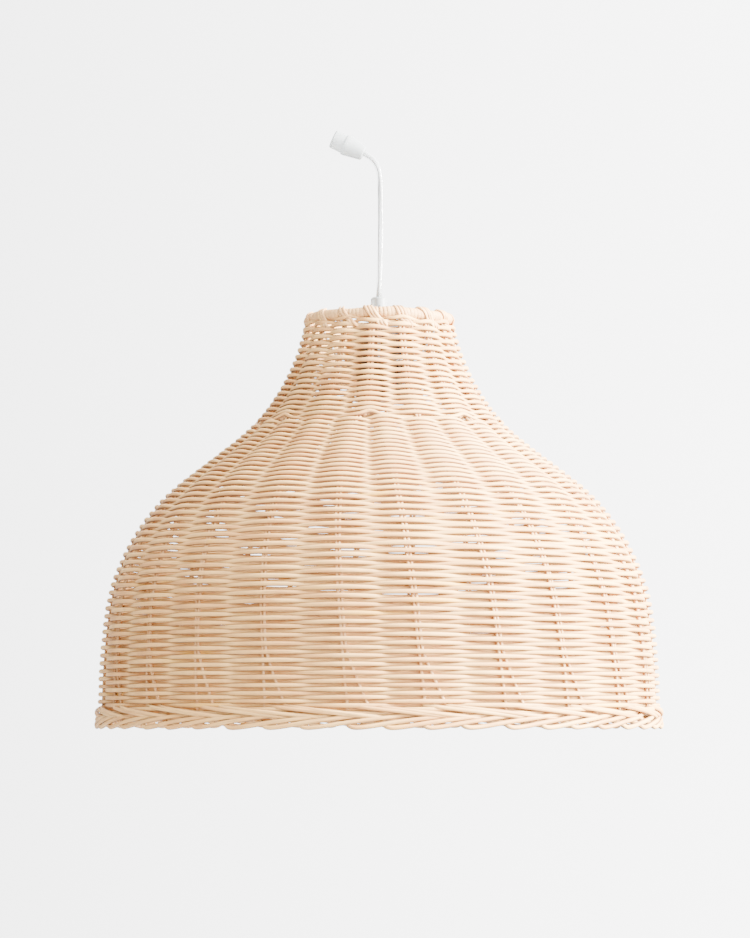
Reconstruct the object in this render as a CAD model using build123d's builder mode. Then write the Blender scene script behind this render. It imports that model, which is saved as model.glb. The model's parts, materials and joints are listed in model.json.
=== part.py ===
"""Woven rattan pendant shade, hung by its cord from the end of a lamp arm.

Units are millimetres and +Z is up. The origin is the centre of the shoulder
where the arm plug's spigot begins, the place where the plug seats in the
arm's tube. The shade's own axis is vertical and stands `axis_x` away from it,
and heights on the shade are counted up from the bottom of its rim, `rim_z`.
"""

import os
from math import atan2, cos, degrees, pi, radians, sin, tan

from build123d import *

os.makedirs("parts", exist_ok=True)

# ---------------------------------------------------------------- dimensions

# where the shade hangs, seen from the arm plug
plug_slope = 26            # degrees that the plug points below level
plug_length = 18.7         # shoulder to tip
plug_r = 9.5
plug_tip_r = 6.7
spigot_r = 8.45
spigot_length = 12
tip_x = -13.6              # tip of the plug, from the shade's axis
tip_h = 513.5              # tip of the plug, above the rim

# outer outline of the weave, upwards from the border
foot_r = 247.5             # radius where the wall stands upright
foot_h = 18
skirt_arc_r = 630
skirt_turn = 7.75          # degrees that the wall leans in at the end of each arc
shoulder_arc_r = 180
shoulder_turn = 52.4
slope_length = 49
neck_arc_r = 180
neck_turn = 12.7

# wall of the weave: two passes of reed with the stakes between them
reed_d = 3.6
stake_r = 1.4
stake_gap = 3.0
wall_t = 2 * reed_d + stake_gap
seam = 0.1                 # clear space where one piece meets the next
running = 0.05             # clear space round a round piece in its hole

skirt_length = 138         # along the wall, from the border to the fluted shoulder
split_length = 305         # along the wall, where each second neck column divides

# columns of stakes
split_columns = 8
pitch = 360 / split_columns
fork = pitch / 6           # half the angle between the two branches of a column
first_column = -92         # degrees, the first divided column
twin = 1.45                # half the distance between the two stakes of a pair
stake_top = 4.6            # stake above the last row, up to the ring
fork_lap = 2.5             # how far the stakes pass the dividing row

# rolled border
border_r = 250
border_inner_r = 238
border_h = 17.9
border_split_h = 9
border_round = 4.2

# ring at the top
ring_r = 61.5
ring_h = 362.2
ring_wire_r = 2.5
ring_wrap_r = 4.8

# spider that joins the ring to the lampholder
hub_bore_r = 20.5
hub_r = 28.5
hub_t = 3
hub_h = 327.4              # top of the hub, under the lampholder's flange
arm_r = 1.5
arm_count = 3
first_arm = 30             # degrees
arm_bends = [(35, 325.9), (46, 337)]  # radius and height where an arm turns upwards
arm_bend_r = 5

# lampholder
barrel_r = 20
barrel_bottom_h = 290.5
flange_r = 24
flange_t = 2.4
cap_r = 22
cap_wall = 2
cap_top_h = 360
cap_round = 9
socket_r = 13.3
socket_wall = 0.5
socket_bottom_h = 293
socket_length = 21
sleeve_r = 16.8
barrel_bore_r = 17
cap_top_t = 3
block_h = 10
block_round = 0.8
contact_space = 5          # height above the screw shell for the centre contact
contact_t = 0.5
contact_drop = 4
contact_w = 5
screw_x = 9                # terminal screws, each side of the axis
screw_r = 1.6
screw_depth = 5.9
screw_neck = 1.2           # bare shank under the head, for the wire
screw_head_r = 3.2
screw_head_t = 2
slot_w = 0.9
slot_depth = 0.8

# threaded ring that clamps the hub
shade_ring_bore_r = 20.05
shade_ring_r = 28.5
shade_ring_lip = 3
shade_ring_collar_r = 23.6
shade_ring_height = 11
shade_ring_ribs = 24
rib_w = 2
ring_play = 0.1

# cord grip and cord
grip_h = 383.5
grip_r = 7.2
grip_foot_r = 7.9
grip_foot = 5
grip_chamfer = 1.5
stem_r = 4.9
stem_length = 9
grip_bore_r = 2.7
grip_screw_r = 1.5
grip_screw_drop = 9        # below the top of the grip
nut_flats = 14
nut_t = 3.5
cord_r = 2.5
core_r = 0.8
core_x = 1.2               # conductors inside the cord, each side of its middle
core_bend_r = 2.5

slope = radians(plug_slope)
axis_x = -tip_x + plug_length * cos(slope)
rim_z = -tip_h - plug_length * sin(slope)

# radial section plane: x is the distance from the shade's axis, y is the height
section = Plane(origin=(axis_x, 0, rim_z), x_dir=(1, 0, 0), z_dir=(0, -1, 0))
shade_axis = Axis((axis_x, 0, 0), (0, 0, 1))


def level(height):
    """Horizontal plane on the shade's axis, at a height above the rim."""
    return Plane(origin=(axis_x, 0, rim_z + height))


def radial(azimuth, aside=0):
    """Section plane turned to an azimuth, moved sideways by a distance."""
    turn = radians(azimuth)
    outward = Vector(cos(turn), sin(turn), 0)
    across = Vector(-sin(turn), cos(turn), 0)
    return Plane(origin=Vector(axis_x, 0, rim_z) + across * aside, x_dir=outward, z_dir=-across)


def front(distance, height):
    """Upright plane that faces -Y, at a distance in front of the shade's axis."""
    return Plane(origin=(axis_x, -distance, rim_z + height), z_dir=(0, -1, 0))


def save(piece, name):
    """Label a finished piece and write it."""
    piece.part.label = name
    export_step(piece.part, f"parts/{name}.step")


# ---------------------------------------------------------------- outline of the wall

turns = [0, radians(skirt_turn), radians(shoulder_turn), radians(shoulder_turn), radians(neck_turn)]
lengths = [
    skirt_arc_r * turns[1],
    shoulder_arc_r * (turns[2] - turns[1]),
    slope_length,
    neck_arc_r * (turns[3] - turns[4]),
]
knots = [sum(lengths[:count]) for count in range(len(lengths) + 1)]
wall_length = knots[-1]


def wall_point(distance, depth):
    """Point of the wall at a distance along it from the border, and a depth inside it."""
    r, h, lean = foot_r, foot_h, 0
    for start, length, lean_0, lean_1 in zip(knots, lengths, turns, turns[1:]):
        part = (distance - start) / length
        if start != knots[-2]:
            part = min(part, 1)
        if part <= 0:
            break
        lean = lean_0 + part * (lean_1 - lean_0)
        if lean_0 == lean_1:
            r -= part * length * sin(lean)
            h += part * length * cos(lean)
        else:
            bend = length / (lean_1 - lean_0)
            r -= bend * (cos(lean_0) - cos(lean))
            h += bend * (sin(lean) - sin(lean_0))
    return (r - depth * cos(lean), h - depth * sin(lean))


def wall_line(low, high, depth):
    """Draw the wall's outline between two distances, in the current line."""
    stops = [low] + [knot for knot in knots[1:-1] if low < knot < high] + [high]
    for start, end in zip(stops, stops[1:]):
        middle = wall_point((start + end) / 2, depth)
        if start >= knots[2] and end <= knots[3]:
            Line(wall_point(start, depth), wall_point(end, depth))
        else:
            ThreePointArc(wall_point(start, depth), middle, wall_point(end, depth))


def weave_band(low, high, depth, name):
    """One pass of reed, as a closed shell between two distances along the wall."""
    with BuildPart() as band:
        with BuildSketch(section):
            with BuildLine():
                wall_line(low, high, depth)
                Line(wall_point(high, depth), wall_point(high, depth + reed_d))
                wall_line(low, high, depth + reed_d)
                Line(wall_point(low, depth + reed_d), wall_point(low, depth))
            make_face()
        revolve(axis=shade_axis)
    save(band, name)


def stake_pair(azimuth, low, high, name):
    """Two round stakes side by side in the middle of the wall."""
    with BuildPart() as pair:
        for aside in (-twin, twin):
            with BuildLine(radial(azimuth, aside)) as path:
                wall_line(low, high, wall_t / 2)
            with BuildSketch(Plane(origin=path.line @ 0, z_dir=path.line % 0)):
                Circle(stake_r)
            sweep(path=path.line)
    save(pair, name)


# ---------------------------------------------------------------- weave

bands = {
    "skirt_weave": (seam, skirt_length - seam),
    "shoulder_weave": (skirt_length, split_length - seam),
    "neck_weave": (split_length, wall_length),
}
for name, (low, high) in bands.items():
    weave_band(low, high, 0, f"{name}_outer")
    weave_band(low, high, reed_d + stake_gap, f"{name}_inner")

# ---------------------------------------------------------------- stakes

for count in range(split_columns):
    column = first_column + count * pitch
    number = f"{count + 1:02d}"
    ends = wall_length + stake_top
    stake_pair(column, split_length - fork_lap, ends, f"neck_stakes_{number}")
    stake_pair(column + pitch / 2, 2 * seam, ends, f"long_stakes_{number}")
    stake_pair(column - fork, 2 * seam, split_length + fork_lap, f"left_branch_stakes_{number}")
    stake_pair(column + fork, 2 * seam, split_length + fork_lap, f"right_branch_stakes_{number}")

# ---------------------------------------------------------------- rolled border

border_t = border_r - border_inner_r
for name, low, high in (
    ("border_loops", 0, border_split_h - seam),
    ("border_roll", border_split_h, border_h),
):
    with BuildPart() as border:
        with BuildSketch(section):
            with Locations((border_r - border_t / 2, (low + high) / 2)):
                RectangleRounded(border_t, high - low, border_round)
        revolve(axis=shade_axis)
    save(border, name)

# ---------------------------------------------------------------- top ring and spider

with BuildPart() as ring_wire:
    with BuildSketch(section):
        with Locations((ring_r, ring_h)):
            Circle(ring_wire_r)
    revolve(axis=shade_axis)
save(ring_wire, "top_ring_wire")


arm_rise = (Vector(ring_r, ring_h) - Vector(*arm_bends[-1])).normalized()
arm_slope = degrees(atan2(arm_rise.Y, arm_rise.X))

with BuildPart() as ring_wrap:
    with BuildSketch(section) as wrap_section:
        with Locations((ring_r, ring_h)):
            Circle(ring_wrap_r)
            Circle(ring_wire_r + running, mode=Mode.SUBTRACT)
        with Locations(Vector(ring_r, ring_h) - arm_rise * ring_wrap_r):
            Rectangle(2 * ring_wrap_r, 2 * (arm_r + seam), rotation=arm_slope, mode=Mode.SUBTRACT)
    revolve(axis=shade_axis)
save(ring_wrap, "top_ring_wrap")


def spider_arm(azimuth, name):
    """Bent rod from the hub up to the ring's wire."""
    start = (hub_r + seam, hub_h - hub_t / 2)
    end = Vector(ring_r, ring_h) - arm_rise * (ring_wire_r + seam)
    with BuildPart() as rod:
        with BuildLine(radial(azimuth)) as path:
            FilletPolyline(start, *arm_bends, (end.X, end.Y), radius=arm_bend_r)
        with BuildSketch(Plane(origin=path.line @ 0, z_dir=path.line % 0)):
            Circle(arm_r)
        sweep(path=path.line)
    save(rod, name)


for count in range(arm_count):
    spider_arm(first_arm + count * 360 / arm_count, f"spider_arm_{count + 1}")

with BuildPart() as hub:
    with BuildSketch(level(hub_h - hub_t)):
        Circle(hub_r)
        Circle(hub_bore_r, mode=Mode.SUBTRACT)
    extrude(amount=hub_t)
save(hub, "spider_hub")

# ---------------------------------------------------------------- lampholder

flange_top_h = hub_h + flange_t

with BuildPart() as barrel:
    with BuildSketch(section):
        with BuildLine():
            Polyline(
                (barrel_bore_r, barrel_bottom_h),
                (barrel_r - 1, barrel_bottom_h),
                (barrel_r, barrel_bottom_h + 1),
                (barrel_r, hub_h),
                (flange_r, hub_h),
                (flange_r, flange_top_h),
                (barrel_bore_r, flange_top_h),
                close=True,
            )
        make_face()
    revolve(axis=shade_axis)
save(barrel, "holder_barrel")

with BuildPart() as cap:
    with BuildSketch(level(flange_top_h)):
        Circle(cap_r)
    extrude(amount=cap_top_h - flange_top_h)
    fillet(cap.edges().sort_by(Axis.Z)[-1], radius=cap_round)
    with BuildSketch(level(flange_top_h)):
        Circle(cap_r - cap_wall)
    extrude(amount=cap_top_h - cap_top_t - flange_top_h - cap_round, mode=Mode.SUBTRACT)
    with BuildSketch(level(cap_top_h - cap_top_t - cap_round)):
        Circle(cap_r - cap_round)
    extrude(amount=cap_round, mode=Mode.SUBTRACT)
    with BuildSketch(level(cap_top_h - cap_top_t)):
        Circle(stem_r + running)
    extrude(amount=cap_top_t, mode=Mode.SUBTRACT)
save(cap, "holder_cap")

socket_top_h = socket_bottom_h + socket_length
block_bottom_h = socket_top_h + contact_space
block_top_h = block_bottom_h + block_h
sleeve_bottom_h = barrel_bottom_h + 1

with BuildPart() as sleeve:
    with BuildSketch(level(sleeve_bottom_h)):
        Circle(sleeve_r)
        Circle(socket_r + socket_wall + running, mode=Mode.SUBTRACT)
    extrude(amount=block_bottom_h - seam - sleeve_bottom_h)
save(sleeve, "insulating_sleeve")

with BuildPart() as shell:
    with BuildSketch(level(socket_bottom_h)):
        Circle(socket_r + socket_wall)
        Circle(socket_r, mode=Mode.SUBTRACT)
    extrude(amount=socket_length)
save(shell, "screw_shell")

screw_places = [(-screw_x, 0), (screw_x, 0)]

with BuildPart() as block:
    with BuildSketch(level(block_bottom_h)):
        Circle(sleeve_r)
    extrude(amount=block_h)
    top_edges = block.edges().group_by(Axis.Z)[-1]
    fillet(top_edges, radius=block_round)
    with BuildSketch(level(block_top_h)):
        with Locations(*screw_places):
            Circle(screw_r + running)
    extrude(amount=-screw_depth - seam, mode=Mode.SUBTRACT)
save(block, "terminal_block")

contact_top_h = block_bottom_h - seam
contact_tip_h = block_bottom_h - contact_drop
with BuildPart() as contact:
    with BuildSketch(section):
        with BuildLine():
            Polyline(
                (-6, contact_top_h),
                (-6, contact_top_h - contact_t),
                (-3, contact_top_h - contact_t),
                (3, contact_tip_h - contact_t),
                (6.5, contact_tip_h - contact_t),
                (6.5, contact_tip_h),
                (3.2, contact_tip_h),
                (-2.8, contact_top_h),
                close=True,
            )
        make_face()
    extrude(amount=contact_w / 2, both=True)
save(contact, "centre_contact")

head_h = block_top_h + screw_neck
with BuildPart() as screws:
    with BuildSketch(level(block_top_h - screw_depth)):
        with Locations(*screw_places):
            Circle(screw_r)
    extrude(amount=screw_depth + screw_neck)
    with BuildSketch(level(head_h)):
        with Locations(*screw_places):
            Circle(screw_head_r)
    extrude(amount=screw_head_t)
    with BuildSketch(level(head_h + screw_head_t - slot_depth)):
        with Locations(*screw_places):
            Rectangle(3 * screw_head_r, slot_w)
    extrude(amount=slot_depth, mode=Mode.SUBTRACT)
save(screws, "terminal_screws")

# ---------------------------------------------------------------- shade ring

shade_ring_top_h = hub_h - hub_t - ring_play
with BuildPart() as shade_ring:
    with BuildSketch(level(shade_ring_top_h)):
        Circle(shade_ring_r)
    extrude(amount=-shade_ring_lip)
    with BuildSketch(level(shade_ring_top_h - shade_ring_lip)):
        Circle(shade_ring_collar_r)
    extrude(amount=shade_ring_lip - shade_ring_height)
    with BuildSketch(level(shade_ring_top_h - shade_ring_lip)):
        with PolarLocations(shade_ring_collar_r, shade_ring_ribs):
            Rectangle(rib_w, rib_w)
    extrude(amount=shade_ring_lip - shade_ring_height)
    with BuildSketch(level(shade_ring_top_h)):
        Circle(shade_ring_bore_r)
    extrude(amount=-shade_ring_height, mode=Mode.SUBTRACT)
save(shade_ring, "shade_ring")

# ---------------------------------------------------------------- cord grip

with BuildPart() as grip:
    with BuildSketch(section):
        with BuildLine():
            Polyline(
                (grip_bore_r, cap_top_h - stem_length),
                (stem_r, cap_top_h - stem_length),
                (stem_r, cap_top_h),
                (grip_foot_r, cap_top_h),
                (grip_foot_r, cap_top_h + grip_foot),
                (grip_r, cap_top_h + grip_foot + grip_foot_r - grip_r),
                (grip_r, grip_h - grip_chamfer),
                (grip_r - grip_chamfer, grip_h),
                (grip_bore_r, grip_h),
                close=True,
            )
        make_face()
    revolve(axis=shade_axis)
    with BuildSketch(front(grip_bore_r, grip_h - grip_screw_drop)):
        Circle(grip_screw_r + running)
    extrude(amount=grip_r, mode=Mode.SUBTRACT)
save(grip, "cord_grip")

with BuildPart() as grip_screw:
    with BuildSketch(front(cord_r + 2 * seam + running, grip_h - grip_screw_drop)):
        Circle(grip_screw_r)
    extrude(amount=grip_r - cord_r + screw_neck)
    with BuildSketch(front(grip_r + seam, grip_h - grip_screw_drop)):
        Rectangle(3 * grip_screw_r, slot_w)
    extrude(amount=grip_r, mode=Mode.SUBTRACT)
save(grip_screw, "grip_screw")

with BuildPart() as nut:
    with BuildSketch(level(cap_top_h - cap_top_t - seam)):
        RegularPolygon(nut_flats / 2, 6, major_radius=False)
        Circle(stem_r + running, mode=Mode.SUBTRACT)
    extrude(amount=-nut_t)
save(nut, "grip_nut")

core_end_h = head_h + screw_head_t + seam
core_bend_h = cap_top_h - cap_top_t - stem_length
with BuildPart() as cores:
    for side in (-1, 1):
        with BuildLine(section) as path:
            FilletPolyline(
                (side * core_x, grip_h - seam),
                (side * core_x, core_bend_h),
                (side * screw_x, core_end_h + 2 * core_bend_r),
                (side * screw_x, core_end_h),
                radius=core_bend_r,
            )
        with BuildSketch(Plane(origin=path.line @ 0, z_dir=path.line % 0)):
            Circle(core_r)
        sweep(path=path.line)
save(cores, "conductor_cores")

# ---------------------------------------------------------------- arm plug

plug_dir = Vector(cos(slope), 0, -sin(slope))
rim_band = 2.2             # straight edge at the plug's wide end
plug_chamfer = 1

with BuildPart() as plug:
    with BuildSketch(Plane(origin=(0, 0, 0), x_dir=plug_dir, z_dir=(0, 1, 0))):
        with BuildLine():
            Polyline(
                (-spigot_length, 0),
                (-spigot_length, spigot_r - plug_chamfer),
                (plug_chamfer - spigot_length, spigot_r),
                (0, spigot_r),
                (0, plug_r),
                (rim_band, plug_r),
                (plug_length - plug_chamfer, plug_tip_r),
                (plug_length, plug_tip_r - plug_chamfer),
                (plug_length, 0),
                close=True,
            )
        make_face()
    revolve(axis=Axis((0, 0, 0), plug_dir))
save(plug, "arm_plug")

# ---------------------------------------------------------------- cord

# route from the plug's tip to the grip: distance from the shade's axis, height above the rim
cord_route = [
    (tip_x, tip_h),
    (-8.66, 511.09),
    (-4.27, 507.0),
    (-0.77, 500.94),
    (1.15, 492.4),
    (1.5, 477.5),
    (1.7, 449),
    (1.1, 413),
    (0, grip_h + seam),
]


def corner_radii(points):
    """Largest tangent arc for each corner of a route."""
    spots = [Vector(x, y, 0) for x, y in points]
    runs = [b - a for a, b in zip(spots, spots[1:])]
    radii = []
    for first, second in zip(runs, runs[1:]):
        half_turn = radians(first.get_angle(second)) / 2
        radii.append(0.45 * min(first.length, second.length) / tan(half_turn))
    return radii


cord_radii = corner_radii(cord_route)
with BuildPart() as cord:
    with BuildLine(section) as cord_line:
        FilletPolyline(*cord_route, radius=cord_radii)
    with BuildSketch(Plane(origin=cord_line.line @ 0, z_dir=cord_line.line % 0)):
        Circle(cord_r)
    sweep(path=cord_line.line)
save(cord, "cord")

cord_length = sum(edge.length for edge in cord_line.edges())
expected = pi * cord_r**2 * cord_length
print("cord radii", [round(r, 1) for r in cord_radii])
print("cord length", round(cord_length, 1), "volume ratio", round(cord.part.volume / expected, 4))
print("axis_x", round(axis_x, 3), "rim_z", round(rim_z, 3), "wall length", round(wall_length, 2))
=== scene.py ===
import json
import math

import bpy
import numpy as np
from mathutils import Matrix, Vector

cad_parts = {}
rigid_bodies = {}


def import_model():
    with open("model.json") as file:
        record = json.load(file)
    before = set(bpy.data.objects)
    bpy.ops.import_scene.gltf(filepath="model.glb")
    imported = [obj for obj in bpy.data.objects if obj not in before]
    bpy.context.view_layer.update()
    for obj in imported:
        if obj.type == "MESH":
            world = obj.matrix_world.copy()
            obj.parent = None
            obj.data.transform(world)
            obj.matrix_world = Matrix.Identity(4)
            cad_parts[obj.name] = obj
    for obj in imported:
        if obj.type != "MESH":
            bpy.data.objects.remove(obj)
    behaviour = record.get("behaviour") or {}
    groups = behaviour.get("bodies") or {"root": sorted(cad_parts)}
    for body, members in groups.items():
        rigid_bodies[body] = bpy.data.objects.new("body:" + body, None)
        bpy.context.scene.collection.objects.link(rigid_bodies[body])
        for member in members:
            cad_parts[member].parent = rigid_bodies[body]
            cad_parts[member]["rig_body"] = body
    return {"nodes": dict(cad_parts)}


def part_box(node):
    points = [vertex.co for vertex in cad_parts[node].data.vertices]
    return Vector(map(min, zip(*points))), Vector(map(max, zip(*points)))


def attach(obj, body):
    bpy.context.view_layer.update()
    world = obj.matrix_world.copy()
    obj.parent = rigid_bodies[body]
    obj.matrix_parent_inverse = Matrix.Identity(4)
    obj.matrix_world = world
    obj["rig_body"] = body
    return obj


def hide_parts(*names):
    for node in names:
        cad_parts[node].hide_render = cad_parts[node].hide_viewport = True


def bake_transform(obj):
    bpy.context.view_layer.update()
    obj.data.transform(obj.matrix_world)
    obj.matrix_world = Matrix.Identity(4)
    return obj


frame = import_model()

# A bell-shaped shade woven from round reed, hung on a clear cord from the plug in a lamp arm's end.
# Lengths are metres. Heights on the shade are counted up from the bottom of its rim.

MM = 0.001
random = np.random.default_rng(7)
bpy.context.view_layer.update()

barrel_low, barrel_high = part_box("holder_barrel")
axis_x = (barrel_low.x + barrel_high.x) / 2
rim_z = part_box("border_loops")[0].z


def collection_add(data, name):
    """An object for data, placed in the scene."""
    piece = bpy.data.objects.new(name, data)
    bpy.context.scene.collection.objects.link(piece)
    return piece


def distances(points):
    """Distance along a line of points, from its first to each of them."""
    return np.concatenate([[0], np.cumsum(np.linalg.norm(np.diff(points, axis=0), axis=1))])


# ---------------------------------------------------------------- camera

camera_distance = 2.7
camera_height = 10 * MM           # above the rim
camera_aside = -3.5 * MM          # to the right of the shade's axis
camera_rise = 4.66                # degrees that it looks up
lens = 117.1
sensor_width = 36

camera = collection_add(bpy.data.cameras.new("camera"), "camera")
camera.data.lens = lens
camera.data.sensor_width = sensor_width
camera.location = (axis_x + camera_aside, -camera_distance, rim_z + camera_height)
camera.rotation_euler = (math.radians(90 + camera_rise), 0, 0)
bpy.context.scene.camera = camera


# ---------------------------------------------------------------- materials

class Nodes:
    """A material's node tree, with short ways to add and join nodes."""

    def __init__(self, name):
        self.material = bpy.data.materials.new(name)
        self.material.use_nodes = True
        self.tree = self.material.node_tree
        self.shader = self.tree.nodes["Principled BSDF"]

    def add(self, kind, inputs=None, **settings):
        node = self.tree.nodes.new(kind)
        for key, value in settings.items():
            setattr(node, key, value)
        for key, value in (inputs or {}).items():
            if isinstance(value, bpy.types.NodeSocket):
                self.tree.links.new(value, node.inputs[key])
            else:
                node.inputs[key].default_value = value
        return node

    def ramp(self, factor, stops):
        node = self.add("ShaderNodeValToRGB", {"Fac": factor})
        elements = node.color_ramp.elements
        while len(elements) < len(stops):
            elements.new(0.5)
        for element, (place, colour) in zip(elements, stops):
            element.position = place
            element.color = (*colour, 1)
        return node.outputs["Color"]

    def mix(self, factor, first, second, blend_type="MIX"):
        node = self.tree.nodes.new("ShaderNodeMix")
        node.data_type = "RGBA"
        node.blend_type = blend_type
        for socket, value in ((node.inputs[0], factor), (node.inputs[6], first), (node.inputs[7], second)):
            if isinstance(value, bpy.types.NodeSocket):
                self.tree.links.new(value, socket)
            elif isinstance(value, tuple):
                socket.default_value = (*value, 1)
            else:
                socket.default_value = value
        return node.outputs[2]

    def noise(self, vector, scale, detail=3.0, roughness=0.55):
        node = self.add(
            "ShaderNodeTexNoise",
            {"Vector": vector, "Scale": scale, "Detail": detail, "Roughness": roughness},
        )
        return node.outputs["Fac"]

    def stretch(self, vector, scale):
        node = self.add("ShaderNodeVectorMath", {0: vector, 1: scale}, operation="MULTIPLY")
        return node.outputs["Vector"]

    def bump(self, height, distance, strength=1.0):
        node = self.add("ShaderNodeBump", {"Height": height, "Distance": distance, "Strength": strength})
        self.tree.links.new(node.outputs["Normal"], self.shader.inputs["Normal"])

    def set(self, **values):
        for key, value in values.items():
            socket = self.shader.inputs[key.replace("_", " ")]
            if isinstance(value, bpy.types.NodeSocket):
                self.tree.links.new(value, socket)
            else:
                socket.default_value = value


ochre_tone = (0.80, 0.46, 0.07)


def rattan(name, pale, warm, fibre_and_shade_dark, ochre=0.5, painted_shade=1.0):
    """Round reed: fibres along each strand, painted shade on each strand's sides, tone changing along it,
    ochre patches.

    ochre is the strength of the patches, and the last argument that of the painted shade on the sides.
    """
    nodes = Nodes(name)
    grain = nodes.add("ShaderNodeAttribute", attribute_name="grain").outputs["Vector"]
    slow = nodes.noise(nodes.stretch(grain, (14.0, 0.0, 3.7)), 1.0, 2.0)
    fibre = nodes.noise(nodes.stretch(grain, (60.0, 9.0, 5.3)), 1.0, 4.0, 0.6)
    tone = nodes.ramp(slow, [(0.4, warm), (0.57, pale)])
    streak = nodes.ramp(fibre, [(0.35, fibre_and_shade_dark), (0.58, (1, 1, 1))])
    colour = nodes.mix(0.4, tone, streak, "MULTIPLY")
    # Painted shade: a strand's sides, where its section turns away from the outside, are darkened with the
    # fibre streaks' colour
    around = nodes.add("ShaderNodeSeparateXYZ", {"Vector": grain}).outputs["Y"]
    facing = nodes.add("ShaderNodeMath", {0: around}, operation="ABSOLUTE").outputs["Value"]
    side = nodes.ramp(facing, [(0.08, fibre_and_shade_dark), (0.34, (1, 1, 1))])
    colour = nodes.mix(painted_shade, colour, side, "MULTIPLY")
    patch = nodes.noise(nodes.stretch(grain, (11.0, 0.5, 9.1)), 1.0, 1.0)
    mask = nodes.ramp(patch, [(0.69, (0, 0, 0)), (0.76, (ochre, ochre, ochre))])
    colour = nodes.mix(mask, colour, ochre_tone)
    nodes.set(Base_Color=colour, Roughness=0.56, Specular_IOR_Level=0.35)
    nodes.bump(fibre, 0.25 * MM, 0.6)
    return nodes.material


def moulded(name, colour, roughness, grain_size, depth, transmission=0.0, ior=1.46, mottle=0.06):
    """Moulded plastic with a fine surface grain and slightly uneven tone."""
    nodes = Nodes(name)
    place = nodes.add("ShaderNodeTexCoord").outputs["Object"]
    grain = nodes.noise(place, 1 / grain_size, 3.0)
    tone = nodes.noise(place, 60.0, 2.0)
    low = tuple(c * (1 - mottle) for c in colour)
    nodes.set(Base_Color=nodes.ramp(tone, [(0.35, low), (0.65, colour)]))
    rough = nodes.add(
        "ShaderNodeMapRange",
        {"Value": grain, "To Min": roughness * 0.85, "To Max": min(1.0, roughness * 1.15)},
    )
    nodes.set(Roughness=rough.outputs["Result"], IOR=ior, Transmission_Weight=transmission)
    nodes.bump(grain, depth, 0.5)
    return nodes.material


def metal(name, colour, roughness, scratch=0.3):
    """Plated or rolled metal with fine scratches."""
    nodes = Nodes(name)
    place = nodes.add("ShaderNodeTexCoord").outputs["Object"]
    lines = nodes.noise(nodes.stretch(place, (300.0, 300.0, 2200.0)), 1.0, 3.0)
    low = tuple(c * (1 - scratch) for c in colour)
    nodes.set(Base_Color=nodes.ramp(lines, [(0.3, low), (0.6, colour)]), Metallic=1.0)
    rough = nodes.add(
        "ShaderNodeMapRange",
        {"Value": lines, "To Min": roughness * 0.7, "To Max": roughness * 1.3},
    )
    nodes.set(Roughness=rough.outputs["Result"])
    nodes.bump(lines, 0.03 * MM, 0.4)
    return nodes.material


reed = rattan("reed", (0.80, 0.47, 0.16), (0.68, 0.35, 0.115), (0.38, 0.35, 0.46))
# last two numbers: strength of the ochre patches and of the painted shade on each strand's sides
stake_reed = rattan("stake_reed", (0.82, 0.50, 0.22), (0.72, 0.38, 0.14), (0.50, 0.44, 0.46), 0.3, 0.6)
peel = rattan("peel", (0.80, 0.48, 0.20), (0.72, 0.39, 0.15), (0.50, 0.44, 0.46), 0.4, 0.6)
black_plastic = moulded("black_plastic", (0.014, 0.014, 0.015), 0.38, 0.4 * MM, 0.02 * MM, mottle=0.2)
insulator = moulded("insulator", (0.62, 0.60, 0.55), 0.7, 0.3 * MM, 0.03 * MM)
frosted = moulded("frosted_plastic", (0.60, 0.63, 0.63), 0.42, 0.5 * MM, 0.03 * MM, transmission=0.55)
clear = moulded("clear_jacket", (0.84, 0.86, 0.87), 0.12, 0.8 * MM, 0.01 * MM, transmission=0.8, mottle=0.02)
white_core = moulded("core_sleeve", (0.93, 0.93, 0.92), 0.3, 0.3 * MM, 0.01 * MM)
zinc = metal("zinc_wire", (0.60, 0.60, 0.58), 0.38)
brass = metal("brass", (0.74, 0.55, 0.24), 0.3)


# ---------------------------------------------------------------- strands

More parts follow.
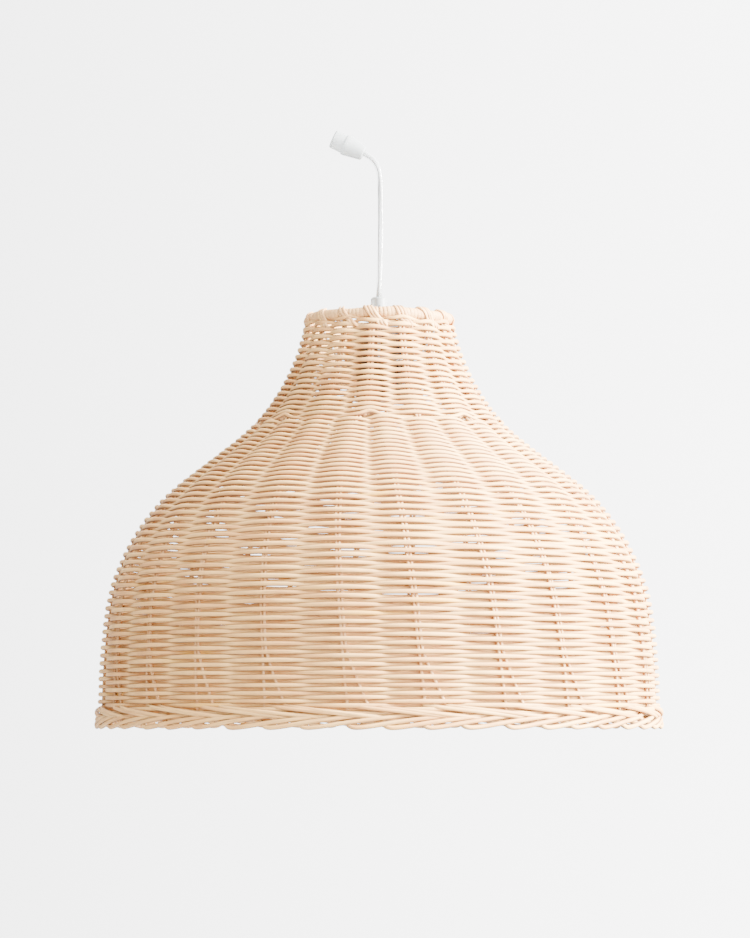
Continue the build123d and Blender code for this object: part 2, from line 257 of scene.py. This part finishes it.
class Strands:
    """Collects round strands and makes them one mesh, with the grain running along each."""

    def __init__(self, sides=8):
        self.sides = sides
        self.verts = []
        self.faces = []
        self.grain = []
        self.count = 0

    def add(self, points, radius, outward, closed=False, flat=1.0):
        """A strand through points, with a radius for each and a direction for its cross-section.

        flat is the strand's thickness along outward, as a share of its width.
        """
        points = np.asarray(points, float)
        radius = np.broadcast_to(np.asarray(radius, float), len(points))
        if closed:
            along = np.roll(points, -1, 0) - np.roll(points, 1, 0)
        else:
            along = np.gradient(points, axis=0)
        along /= np.linalg.norm(along, axis=1)[:, None]
        across = np.cross(along, outward)
        across /= np.linalg.norm(across, axis=1)[:, None]
        up = np.cross(across, along)
        angles = np.arange(self.sides) * 2 * math.pi / self.sides
        ring = (
            np.cos(angles)[None, :, None] * up[:, None] * flat
            + np.sin(angles)[None, :, None] * across[:, None]
        )
        verts = points[:, None] + ring * radius[:, None, None]
        travel = distances(points) + random.uniform(0, 50)
        number = random.uniform(0, 100)
        # grain: distance along, place round the section (darkened at the sides as painted shade), and the
        # strand's number
        grain = np.stack(
            np.broadcast_arrays(travel[:, None], np.cos(angles)[None] * 0.5, number), axis=2
        )
        first = self.count
        rows = len(points)
        index = first + np.arange(rows * self.sides).reshape(rows, self.sides)
        after = np.roll(index, -1, 1)
        top, bottom = (np.roll(index, -1, 0), index) if closed else (index[1:], index[:-1])
        top_after, bottom_after = (np.roll(after, -1, 0), after) if closed else (after[1:], after[:-1])
        self.faces += np.stack([bottom, bottom_after, top_after, top], 2).reshape(-1, 4).tolist()
        if not closed:
            self.faces.append(index[0][::-1].tolist())
            self.faces.append(index[-1].tolist())
        self.verts.append(verts.reshape(-1, 3))
        self.grain.append(grain.reshape(-1, 3))
        self.count += rows * self.sides

    def build(self, name, material, body, slot, *nodes):
        """One piece made of every strand so far."""
        mesh = bpy.data.meshes.new(name)
        mesh.from_pydata(np.concatenate(self.verts).tolist(), [], self.faces)
        grain = mesh.attributes.new("grain", "FLOAT_VECTOR", "POINT")
        grain.data.foreach_set("vector", np.concatenate(self.grain).ravel())
        mesh.polygons.foreach_set("use_smooth", [len(face) == 4 for face in self.faces])
        mesh.materials.append(material)
        piece = collection_add(mesh, name)
        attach(piece, body)
        if nodes:
            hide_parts(*nodes)
        return piece


# ---------------------------------------------------------------- cord

cord_r = 2.5 * MM
core_r = 0.85 * MM
core_gap = 1.15 * MM              # from the cord's middle to a core's
core_pitch = 190 * MM             # length of cord in which the cores make one turn
core_start = 0.6                  # radians
core_steps = 160

# the cord's route from the arm plug down to the grip: distance from the shade's axis, height above the rim
cord_route = [
    (-13.6, 513.5),
    (-8.66, 511.09),
    (-4.27, 507.0),
    (-0.77, 500.94),
    (1.15, 492.4),
    (1.5, 477.5),
    (1.7, 449),
    (1.1, 413),
    (0, 383.6),
]


def route_line(route):
    """Points along the smooth curve that a cord's route controls."""
    curve = bpy.data.curves.new("cord_line", "CURVE")
    curve.dimensions = "3D"
    spline = curve.splines.new("NURBS")
    spline.points.add(len(route) - 1)
    for point, (x, height) in zip(spline.points, route):
        point.co = (axis_x + x * MM, 0, rim_z + height * MM, 1)
    spline.order_u = 3
    spline.use_endpoint_u = True
    spline.resolution_u = 12
    guide = collection_add(curve, "cord_guide")
    mesh = bpy.data.meshes.new_from_object(guide)
    points = np.array([v.co for v in mesh.vertices], float)
    bpy.data.objects.remove(guide)
    bpy.data.meshes.remove(mesh)
    return points


cord_points = route_line(cord_route)
sideways = np.array([0.0, 1.0, 0.0])
cord_travel = distances(cord_points)
cord_length = float(cord_travel[-1])


def cord_strand(sides, lines, radius, name, material, slot, *nodes):
    """Strands along the cord, made one piece that rides on no body."""
    strand = Strands(sides)
    for points in lines:
        strand.add(points, radius, sideways)
    piece = strand.build(name, material, "cord", slot, *nodes)
    piece.parent = None
    del piece["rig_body"]
    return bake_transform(piece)


jacket = cord_strand(16, [cord_points], cord_r, "cord_jacket", clear, "cord_jacket", "cord")


def core_line(start):
    """One core's line, wound round the cord's middle from a start angle."""
    travel = np.linspace(0, cord_length, core_steps)
    centre = np.stack([np.interp(travel, cord_travel, cord_points[:, axis]) for axis in range(3)], 1)
    along = np.gradient(centre, axis=0)
    along /= np.linalg.norm(along, axis=1)[:, None]
    side = np.cross(along, sideways)
    angle = (travel * (2 * math.pi / core_pitch) + start)[:, None]
    return centre + core_gap * (np.cos(angle) * side + np.sin(angle) * sideways)


cores = [core_line(start) for start in (core_start, core_start + math.pi)]
cord_strand(8, cores, core_r, "cord_conductors", white_core, "core_jacket")


# ---------------------------------------------------------------- outline of the wall, from the CAD shells

shell_samples = 240
shell_edge = 0.3 * MM             # the samples stop short of the shells' ends by this much
shell_smooth = 4                  # samples to each side that the radius is averaged over
lean_reach = 2 * MM               # to each side of a place, where the wall's slope is measured
end_inset = 0.5 * MM              # the wall goes straight on from this far inside its ends


def outer_radius(height):
    """Radius of the CAD shade at a height above the rim, or None above and below it."""
    start = Vector((axis_x, -1, rim_z + height))
    hits = []
    for zone in ("skirt", "shoulder", "neck"):
        hit, place, _, _ = frame["nodes"][f"{zone}_weave_outer"].ray_cast(start, Vector((0, 1, 0)))
        if hit:
            hits.append(-place.y)
    return max(hits) if hits else None


def smoothed(values, reach):
    """Running mean over reach values to each side, with both ends mirrored through their last value."""
    before = 2 * values[0] - values[reach:0:-1]
    after = 2 * values[-1] - values[-2:-reach - 2:-1]
    width = 2 * reach + 1
    return np.convolve(np.concatenate([before, values, after]), np.ones(width) / width, "valid")


foot_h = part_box("skirt_weave_outer")[0].z - rim_z
top_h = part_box("neck_weave_outer")[1].z - rim_z
shell_heights = np.linspace(foot_h + shell_edge, top_h - shell_edge, shell_samples)
shell = np.array([(outer_radius(h), h) for h in shell_heights])
shell[:, 0] = smoothed(shell[:, 0], shell_smooth)
shell_travel = distances(shell)
wall_length = shell_travel[-1]


def travel_at(height):
    """Distance along the wall, up from its foot, at a height."""
    return float(np.interp(height, shell[:, 1], shell_travel))


def shell_at(travel):
    """Radius and height of the wall's outside at a distance along it."""
    return np.interp(travel, shell_travel, shell[:, 0]), np.interp(travel, shell_travel, shell[:, 1])


split_h = (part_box("neck_weave_outer")[0].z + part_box("shoulder_weave_outer")[1].z) / 2 - rim_z
split_travel = travel_at(split_h)
skirt_travel = travel_at(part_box("skirt_weave_outer")[1].z - rim_z)

stake_r = 1.4 * MM
mid_depth = 5.1 * MM              # from the outside of the wall to the middle of the stakes


def wall(travel, depth):
    """Radius, height, and outward direction (radial, up) of the wall at a depth below its outside.

    The wall goes straight on past both of its ends.
    """
    travel = np.asarray(travel, float)
    inside = np.clip(travel, end_inset, wall_length - end_inset)
    r, h = shell_at(inside)
    above_r, above_h = shell_at(inside + lean_reach)
    below_r, below_h = shell_at(inside - lean_reach)
    lean_r = above_r - below_r
    lean_h = above_h - below_h
    size = np.hypot(lean_r, lean_h)
    along_r, along_h = lean_r / size, lean_h / size
    extra = travel - inside
    return (
        r + along_r * extra - depth * along_h,
        h + along_h * extra + depth * along_r,
        along_h,
        -along_r,
    )


def place(azimuth, radius, height):
    """Points at azimuths (degrees, 0 towards the camera, growing to its right)."""
    turn = np.radians(np.asarray(azimuth, float) - 90)
    return np.stack(
        np.broadcast_arrays(
            axis_x + radius * np.cos(turn), radius * np.sin(turn), rim_z + height
        ),
        -1,
    )


def direction(azimuth, out, up):
    """Directions at azimuths, from their radial and upward shares."""
    turn = np.radians(np.asarray(azimuth, float) - 90)
    return np.stack(np.broadcast_arrays(out * np.cos(turn), out * np.sin(turn), up), -1)


# ---------------------------------------------------------------- columns of stakes

split_columns = 8
pitch = 360 / split_columns
fork = pitch / 6                  # from a divided column's middle to each of its branches
hole_azimuth = -4.9               # the divided column that faces the camera
drift = 7.1                       # degrees that the columns turn from the neck to the border
hand = 2.4                        # degrees of uneven spacing at the border
hand_from = 3                     # azimuth that the uneven spacing leaves in place
uneven_by = 0.7                   # most degrees that a column is out of place
flute_deepest = 0.6 * MM
# depth of the valleys between columns, as a share of the deepest, by height as a share of the split's
flute_from = [0.40, 0.56, 0.76, 0.92, 1.03, 1.12, 1.27]
flute_by = [0, 0.5, 1, 0.8, 0.5, 0.25, 0.1]


def turned(azimuth, travel):
    """Azimuth of a column that stands at azimuth in the neck, at a distance along the wall."""
    down = np.clip(1 - np.asarray(travel, float) / split_travel, 0, 1)
    return azimuth + down * (drift + hand * np.sin(np.radians(azimuth - hand_from)))


holes = [hole_azimuth + pitch * n for n in range(split_columns)]
plain = [hole + pitch / 2 for hole in holes]
branches = [hole + side * fork for hole in holes for side in (-1, 1)]
uneven = {azimuth: random.uniform(-uneven_by, uneven_by) for azimuth in holes + plain + branches}
neck_columns = sorted(holes + plain)
body_columns = sorted(branches + plain)


def columns_at(travel):
    """Azimuths of the columns that a row crosses, in order round the shade."""
    columns = neck_columns if travel > split_travel else body_columns
    return np.array([float(turned(azimuth, travel)) + uneven[azimuth] for azimuth in columns])


def flute_depth(travel):
    """How deep the valleys between the columns are."""
    return float(flute_deepest * np.interp(travel / split_travel, flute_from, flute_by))


# ---------------------------------------------------------------- weave

# height above the rim, and distance there from one row to the next
row_gaps = [
    (18, 3.2), (45, 3.39), (73, 3.48), (122, 3.58), (163, 3.66), (189, 3.66), (216, 3.46),
    (244, 3.15), (279, 2.87), (297, 2.97), (332, 3.2), (357, 3.2),
]
thick_reed = 2.16 * MM            # radius of the reed where the rows are usual_gap apart
usual_gap = 3.5 * MM
pinch = 0.53                      # largest radius of the reed between columns, as a share of the row gap
# places along the span from one column to the next where a row has its points
span_steps = np.array([0, 0.06, 0.13, 0.22, 0.32, 0.41, 0.47, 0.53, 0.59, 0.68, 0.78, 0.87, 0.94])
back_lift = 0.55                  # how much higher a row is at the back than at the front, in rows
# how much closer together the front and back strands are pressed, by height along the wall
tight_from = [100 * MM, 140 * MM, 300 * MM, 335 * MM]
tight_by = [0.0, 0.38, 0.38, 0.14]
# how much thicker than at the foot the reed is, by height along the wall
thick_from = [90 * MM, 140 * MM, 225 * MM, 290 * MM]
thick_by = [1.0, 1.06, 1.06, 1.11]
reed_flat = 0.88                  # a weaver's thickness through the wall, as a share of its width
swing_power = 0.8                 # how sharply a weaver crosses from one side of the stakes to the other
valley_power = 2.6                # how narrow the valleys between columns are
swell_by = 0.05                   # how unevenly a row stands out, as a share
shared_waver = 0.42 * MM          # unevenness of height that neighbouring rows share
own_waver = 0.15 * MM             # and that each row has of its own
wave_climb = 35                   # radians that a shared wave moves on in a metre up the wall
loose_waves = (11, 17, 26)        # waves round the shade in a loose row
level_below = 60 * MM             # stretch under the ring over which the rows level out
hole_above = 3.7 * MM             # how far the rows make way for the end of a divided column
hole_below = 1.3 * MM
hole_width = 7 * MM
hole_rows = 2.2                   # rows above and below that make way
hole_aside = 1.4                  # degrees
hole_r = 112 * MM                 # about the radius of the wall at the holes
# shared waves: number round the shade, phase, size
waves = [(random.integers(2, 9), random.uniform(0, 2 * math.pi), random.uniform(0.5, 1)) for _ in range(6)]


def row_gap(travel):
    """Distance from one row to the next at a distance along the wall."""
    height = shell_at(travel)[1] / MM
    return float(np.interp(height, *zip(*row_gaps))) * MM


def waver(azimuth, travel):
    """Slow unevenness of the rows, shared by neighbouring rows."""
    turn = np.radians(azimuth)
    climb = travel * wave_climb
    total = sum(size * np.sin(count * turn + phase + climb * size) for count, phase, size in waves)
    return total / len(waves)


def weave_row(strands, travel, parity, loose=0.0):
    """One closed row of reed, in front of every second column and behind the others.

    parity says which columns it passes in front of, and loose how far it strays up and down.
    """
    columns = columns_at(travel)
    count = len(columns)
    after = np.append(columns[1:], columns[0] + 360)
    share = np.tile(span_steps, count)
    start = np.repeat(columns, len(span_steps))
    azimuth = start + share * np.repeat(after - columns, len(span_steps))
    turn = np.radians(azimuth)
    sign = np.repeat((-1.0) ** (np.arange(count) + parity), len(span_steps))
    across = np.cos(math.pi * share)
    side = sign * np.sign(across) * np.abs(across) ** swing_power
    gap = row_gap(travel)
    full = thick_reed * (gap / usual_gap) ** 0.6 * np.interp(travel, thick_from, thick_by)
    pinched = min(full, pinch * gap)
    thick = pinched + (full - pinched) * np.cos(math.pi * share) ** 2
    thick = thick * random.uniform(0.93, 1.03)
    valley = np.sin(math.pi * share) ** valley_power * flute_depth(travel)
    swell = 1 + swell_by * np.sin(turn * random.integers(3, 8) + random.uniform(0, 6))
    own = np.sin(turn * random.integers(5, 14) + random.uniform(0, 6))
    lift = shared_waver * waver(azimuth, travel) + own_waver * own
    for waves_round in loose_waves:
        lift = lift + loose * np.sin(turn * waves_round + random.uniform(0, 6)) / 2
    beyond = travel - split_travel
    levelled = min(1, (wall_length - travel) / level_below)
    lift = lift + back_lift * gap * levelled * (1 - np.cos(turn)) / 2
    for hole in holes:
        middle = float(turned(hole, travel)) + uneven[hole] + hole_aside
        apart = (azimuth - middle + 180) % 360 - 180
        aside = np.radians(apart) * hole_r / hole_width
        near = np.exp(-(aside**2) - abs(beyond) / (hole_rows * gap))
        lift = lift + (hole_above if beyond > 0 else -hole_below) * near
    r, h, out, up = wall(travel + lift, mid_depth)
    pressed = np.interp(travel, tight_from, tight_by)
    bulge = (stake_r + reed_flat * full) * (1 - pressed) * side * swell - valley
    points = place(azimuth, r + bulge * out, h + bulge * up)
    outward = direction(azimuth, out, up)
    first = random.integers(0, len(points))
    points, thick, outward = (np.roll(values, -first, 0) for values in (points, thick, outward))
    strands.add(points, thick, outward, closed=True, flat=reed_flat)


lowest_row = -4.8 * MM            # so that two rows are behind the border
highest_row = wall_length - 1.2 * MM
# rows under the ring: distance above the last row of the wall, and how loose they are
loose_rows = [(3.15 * MM, 0.6 * MM), (6.1 * MM, 0.9 * MM)]

row_travels = [lowest_row]
while row_travels[-1] + row_gap(row_travels[-1]) < highest_row:
    row_travels.append(row_travels[-1] + row_gap(row_travels[-1]))

# where each height begins and ends along the wall, and the number of pieces that its rows are made in
zones = {
    "skirt": (lowest_row, skirt_travel, 3),
    "shoulder": (skirt_travel, split_travel, 4),
    "neck": (split_travel, wall_length, 1),
}
for zone, (low, high, parts) in zones.items():
    mine = [n for n, travel in enumerate(row_travels) if low <= travel < high]
    for part, numbers in enumerate(np.array_split(mine, parts)):
        weavers = Strands()
        for n in numbers:
            weave_row(weavers, row_travels[n], int(n))
        if zone == "neck":
            for n, (above, loose) in enumerate(loose_rows, len(row_travels)):
                weave_row(weavers, row_travels[-1] + above, n, loose)
        shells = [f"{zone}_weave_outer", f"{zone}_weave_inner"]
        weavers.build(f"{zone}_weavers_{part + 1}", reed, "shade", "reed", *shells)


# ---------------------------------------------------------------- stakes

twin = 1.5 * MM                   # half the distance between the two stakes of a pair
splay_length = 48 * MM            # stretch above the border where a pair opens
splay = 15 * MM
lean_length = 14 * MM             # stretch at a branch's top where it leans
wander_by = 0.25 * MM
wander_rate = 90                  # radians of a stake's wander to a metre
stake_step = 4 * MM               # from one of a stake's points to the next


def stake(strands, azimuth, side, low, high, spread=0.0, lean=0.0):
    """One stake of a pair, up the middle of the wall.

    side is -1 or 1, spread how far its foot strays to the right, and lean the degrees that its top does.
    """
    travel = np.arange(low, high - stake_step / 2, stake_step)
    travel = np.append(travel, high)
    middle = turned(azimuth, travel) + uneven[azimuth]
    middle = middle + lean * np.clip(1 - (high - travel) / lean_length, 0, 1) ** 1.5
    r, h, out, up = wall(travel, mid_depth)
    aside = side * twin + spread * np.clip(1 - travel / splay_length, 0, 1) ** 1.2
    wander = wander_by * np.sin(travel * wander_rate + random.uniform(0, 6))
    points = place(middle + np.degrees((aside + wander) / r), r, h)
    strands.add(points, stake_r * random.uniform(0.94, 1.04), direction(middle, out, up))


ring_gap = 4.6 * MM               # from the last row up to the ring
gather = 3.4                      # degrees that a branch's top leans towards its column
foot = -2 * MM                    # the stakes' lower ends
stagger = 1 * MM                  # how much lower or higher than its pair's middle a cut end is
left_top = split_travel - 2 * MM
right_top = split_travel + 1.6 * MM
column_foot = split_travel + 1.2 * MM
body_stakes = Strands()
neck_stakes = Strands()
for hole in holes:
    for side in (-1, 1):
        spread = splay if side > 0 else 0
        stake(body_stakes, hole - fork, side, foot, left_top, spread, gather)
        stake(body_stakes, hole + fork, side, foot, right_top + side * stagger, spread, -gather)
for azimuth in plain:
    for side in (-1, 1):
        stake(body_stakes, azimuth, side, foot, split_travel, splay if side > 0 else 0)
        stake(neck_stakes, azimuth, side, split_travel, wall_length + ring_gap)
for azimuth in holes:
    for side in (-1, 1):
        stake(neck_stakes, azimuth, side, column_foot + side * stagger, wall_length + ring_gap)

numbers = [f"{n + 1:02d}" for n in range(split_columns)]
body_stakes.build(
    "body_stakes", stake_reed, "shade", "stake",
    *[f"{side}_branch_stakes_{n}" for n in numbers for side in ("left", "right")],
    *[f"long_stakes_{n}" for n in numbers],
)
neck_stakes.build(
    "neck_stakes", stake_reed, "shade", "stake", *[f"neck_stakes_{n}" for n in numbers]
)


# ---------------------------------------------------------------- rolled border

border_low, border_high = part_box("border_loops")
border_half = 6 * MM              # from the border's outside to its middle
border_mid_r = (border_high.y - border_low.y) / 2 - border_half
loop_pitch = 7.5                  # degrees
fall_r = 1.78 * MM                # radius of a strand that falls away over the last rows
hook_r = 1.98 * MM                # radius of a strand that hooks round the foot
path_steps = 6                    # points to each stop of a strand's path

# one strand of the border: pitches round the rim, height above it, distance out from the border's middle
fall = [
    (-0.05, 20.6, -1.8), (0.12, 19.4, -0.6), (0.35, 18.4, 2.0), (0.8, 16.8, 3.6), (1.4, 14.8, 4.1),
    (2.0, 12.7, 3.9), (2.5, 11.2, 2.8), (2.9, 9.8, 0.6), (3.3, 8.6, -2.4), (3.9, 7.6, -3.8),
]
hook = [
    (-0.5, 9.4, -3.4), (-0.24, 7.4, -1.6), (-0.12, 5.6, 0.7), (-0.05, 3.9, 2.6), (0.02, 2.6, 3.6),
    (0.17, 2.05, 4.0), (0.5, 3.2, 4.05), (1.0, 5.9, 4.0), (1.5, 8.2, 3.8), (2.0, 10.3, 2.8),
    (2.4, 11.8, 0.7), (2.9, 13.2, -2.6),
]


def smooth_path(stops, steps):
    """Points along a smooth line through a few stops, with steps of them to each stop but the last."""
    stops = np.array(stops, float)
    padded = np.vstack([2 * stops[0] - stops[1], stops, 2 * stops[-1] - stops[-2]])
    share = np.linspace(0, 1, steps, endpoint=False)[:, None]
    parts = []
    for a, b, c, d in zip(padded, padded[1:], padded[2:], padded[3:]):
        parts.append(
            0.5 * (2 * b + (c - a) * share + (2 * a - 5 * b + 4 * c - d) * share**2
                   + (3 * b - a - 3 * c + d) * share**3)
        )
    return np.vstack(parts + [stops[-1:]])


rolled = Strands()
looped = Strands()
layers = [
    (rolled, (0, loop_pitch / 2), fall, fall_r),
    (looped, (0, loop_pitch), hook, hook_r),
]
for column in columns_at(0):
    for strands, steps, stops, thickness in layers:
        for step in steps:
            path = smooth_path(stops, path_steps)
            base = column + step + random.uniform(-0.6, 0.6)
            azimuth = base + path[:, 0] * loop_pitch * random.uniform(0.92, 1.1)
            lift = random.uniform(-0.4, 0.4) * MM * np.clip(path[:, 1] / 6, 0, 1)
            points = place(azimuth, border_mid_r + path[:, 2] * MM, path[:, 1] * MM + lift)
            strands.add(points, thickness * random.uniform(0.94, 1.05), direction(azimuth, 1.0, 0.0))
rolled.build("border_roll_strands", reed, "shade", "border", "border_roll")
looped.build("border_loop_strands", reed, "shade", "border", "border_loops")


# ---------------------------------------------------------------- wrapped top ring

ring_low, ring_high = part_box("top_ring_wrap")
ring_r = (ring_high.y - ring_low.y) / 2 - (ring_high.z - ring_low.z) / 2
ring_h = (ring_high.z + ring_low.z) / 2 - rim_z
wrap_r = (ring_high.z - ring_low.z) / 2
wrap_turns = 118
turn_steps = 9                    # rings of points to a turn of the peel
wrap_sides = 20
groove_depths = [0.16 * MM, 0.26 * MM, 0.5 * MM, 1.4 * MM]
groove_shares = [0.4, 0.22, 0.18, 0.2]
groove_width = 0.16               # share of a turn
bound_width = 3.6                 # degrees that a lashing presses the winding out over
bound_depth = 0.15 * MM
wrap_wave = 0.5 * MM              # how far the ring strays up and down


def wrapped_ring():
    """The ring under its winding of peel: a ridge for each turn, with deeper gaps between bands of turns."""
    steps, sides = wrap_turns * turn_steps, wrap_sides
    around = np.arange(steps) / steps
    section = np.arange(sides) * 2 * math.pi / sides
    turn_phase = around[:, None] * wrap_turns + section[None] / (2 * math.pi)
    number = np.floor(turn_phase).astype(int) % wrap_turns
    near_edge = np.minimum(turn_phase % 1, 1 - turn_phase % 1)
    edge = np.where(turn_phase % 1 < 0.5, number, (number + 1) % wrap_turns)
    depth_at = random.choice(groove_depths, wrap_turns, p=groove_shares)
    size_at = random.uniform(-0.28, 0.22, wrap_turns) * MM
    size_at = (size_at + np.roll(size_at, 1) + np.roll(size_at, 2)) / 2
    groove = depth_at[edge] * np.exp(-((near_edge / groove_width) ** 2))
    azimuth = around * 360
    bound = np.zeros(steps)
    for column in neck_columns:
        apart = (azimuth - column - uneven[column] + 180) % 360 - 180
        bound += np.exp(-((apart / bound_width) ** 2))
    radius = wrap_r + 0.1 * MM + size_at[number] - groove - bound_depth * (1 - bound[:, None])
    r = ring_r + radius * np.cos(section)[None]
    h = ring_h + radius * np.sin(section)[None] + wrap_wave * np.sin(np.radians(azimuth) * 5 + 1)[:, None]
    verts = place(azimuth[:, None], r, h)
    index = np.arange(steps * sides).reshape(steps, sides)
    top, after = np.roll(index, -1, 0), np.roll(index, -1, 1)
    top_after = np.roll(after, -1, 0)
    faces = np.stack([index, top, top_after, after], 2).reshape(-1, 4)
    mesh = bpy.data.meshes.new("top_ring_winding")
    mesh.from_pydata(verts.reshape(-1, 3).tolist(), [], faces.tolist())
    grain = mesh.attributes.new("grain", "FLOAT_VECTOR", "POINT")
    # grain: along the peel, place across each turn (darkened next to each gap as painted shade), the turn's
    # number
    values = np.stack([section[None] * radius * 2 + number * 0.11, (turn_phase % 1) * 1.5, number * 0.37], 2)
    grain.data.foreach_set("vector", values.ravel())
    mesh.polygons.foreach_set("use_smooth", [True] * len(faces))
    mesh.materials.append(peel)
    piece = collection_add(mesh, "top_ring_winding")
    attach(piece, "shade")
    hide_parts("top_ring_wrap")


wrapped_ring()

lashing_r = 1.45 * MM
lashing_pitch = 2.5               # degrees from one strand of a lashing to the next

# peel over the ring and down round the stakes: share of the slant, then distance out from the ring's middle
# and height above it, both in radii of the wrapped ring
binding = [
    (-0.6, -0.75, 0.8), (-0.45, 0.0, 1.12), (-0.3, 0.75, 0.85), (-0.05, 1.1, 0.1), (0.25, 0.85, -0.75),
    (0.5, 0.75, -1.3), (0.75, 1.15, -1.8), (1.0, 0.95, -2.3), (1.2, 0.3, -2.6),
]
lashing = Strands()
for column in neck_columns:
    slant = random.uniform(4.5, 9.0)
    count = random.integers(2, 4)
    for n in range(count):
        path = smooth_path(binding, 4)
        aside = (n - (count - 1) / 2) * lashing_pitch + random.uniform(-0.3, 0.3)
        azimuth = column + uneven[column] + aside + slant * path[:, 0]
        points = place(azimuth, ring_r + path[:, 1] * wrap_r, ring_h + path[:, 2] * wrap_r)
        lashing.add(points, lashing_r, direction(azimuth, 1.0, 0.2), flat=0.5)
lashing.build("ring_lashings", peel, "shade", "peel")


# ---------------------------------------------------------------- fitting

finishes = {
    "arm_plug": frosted,
    "cord_grip": frosted,
    "grip_nut": frosted,
    "grip_screw": frosted,
    "holder_cap": black_plastic,
    "holder_barrel": black_plastic,
    "shade_ring": black_plastic,
    "insulating_sleeve": insulator,
    "terminal_block": insulator,
    "screw_shell": brass,
    "centre_contact": brass,
    "terminal_screws": brass,
    "conductor_cores": white_core,
    "top_ring_wire": zinc,
    "spider_hub": zinc,
    "spider_arm_1": zinc,
    "spider_arm_2": zinc,
    "spider_arm_3": zinc,
}
for node, material in finishes.items():
    mesh = frame["nodes"][node].data
    mesh.materials.clear()
    mesh.materials.append(material)

# the cord goes on through the grip, from just under its top
grip_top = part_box("cord_grip")[1].z
tail = Strands(16)
tail_line = [(axis_x, 0, grip_top - down * MM) for down in (0.05, 1, 3, 6, 10, 14)]
tail.add(tail_line, cord_r * 0.99, sideways)
tail.build("cord_in_grip", clear, "lampholder", "cord_jacket")


# ---------------------------------------------------------------- stage and light

floor_drop = 4.4                  # the floor below the rim
floor_size = 50
floor_dark = (0.37, 0.37, 0.37)
floor_pale = (0.39, 0.39, 0.39)
room_brightest = 10
# brightness of the studio from far left (0) to far right (1)
room_levels = [(0.0, 0.8), (0.3, 1.1), (0.4, 2.8), (0.425, 4.8), (0.56, 7.3), (0.7, 8.3), (1.0, 9.5)]
room_behind = 1.1                 # how much brighter it is behind the viewer than behind the shade
aim_height = 180 * MM             # above the rim

floor_mesh = bpy.data.meshes.new("floor")
half = floor_size / 2
floor_z = rim_z - floor_drop
floor_mesh.from_pydata(
    [(-half, -half, floor_z), (half, -half, floor_z), (half, half, floor_z), (-half, half, floor_z)],
    [],
    [(0, 1, 2, 3)],
)
floor = collection_add(floor_mesh, "floor")
plaster = Nodes("pale_floor")
floor_place = plaster.add("ShaderNodeTexCoord").outputs["Object"]
speckle = plaster.noise(floor_place, 40.0, 3.0)
plaster.set(Base_Color=plaster.ramp(speckle, [(0.3, floor_dark), (0.7, floor_pale)]), Roughness=0.9)
floor_mesh.materials.append(plaster.material)


def studio():
    """Pale surroundings, brighter from left to right and a little brighter behind the viewer."""
    world = bpy.data.worlds.new("studio")
    world.use_nodes = True
    room = world.node_tree
    sky = room.nodes["Background"]
    aim_at = room.nodes.new("ShaderNodeTexCoord")
    axes = room.nodes.new("ShaderNodeSeparateXYZ")
    room.links.new(aim_at.outputs["Generated"], axes.inputs["Vector"])
    across = room.nodes.new("ShaderNodeMapRange")
    across.inputs["From Min"].default_value = -1
    room.links.new(axes.outputs["X"], across.inputs["Value"])
    levels = room.nodes.new("ShaderNodeValToRGB")
    elements = levels.color_ramp.elements
    while len(elements) < len(room_levels):
        elements.new(0.5)
    for element, (at, level) in zip(elements, room_levels):
        share = level / room_brightest
        element.position = at
        element.color = (share, share, share, 1)
    room.links.new(across.outputs["Result"], levels.inputs["Fac"])
    room.links.new(levels.outputs["Color"], sky.inputs["Color"])
    behind = room.nodes.new("ShaderNodeMapRange")
    behind.inputs["From Min"].default_value = -0.9
    behind.inputs["From Max"].default_value = 0.9
    behind.inputs["To Min"].default_value = room_brightest * room_behind
    behind.inputs["To Max"].default_value = room_brightest
    room.links.new(axes.outputs["Y"], behind.inputs["Value"])
    room.links.new(behind.outputs["Result"], sky.inputs["Strength"])
    bpy.context.scene.world = world


def soft_light(name, place_at, size, power, colour):
    """Square area light aimed at the middle of the shade."""
    data = bpy.data.lights.new(name, "AREA")
    data.size = size
    data.energy = power
    data.color = colour
    light = collection_add(data, name)
    light.location = place_at
    aim = Vector((axis_x, 0, rim_z + aim_height)) - Vector(place_at)
    light.rotation_euler = aim.to_track_quat("-Z", "Y").to_euler()


studio()
soft_light("key_light", (2.7, -0.7, 0.7), 1.2, 1450, (1.0, 0.985, 0.95))
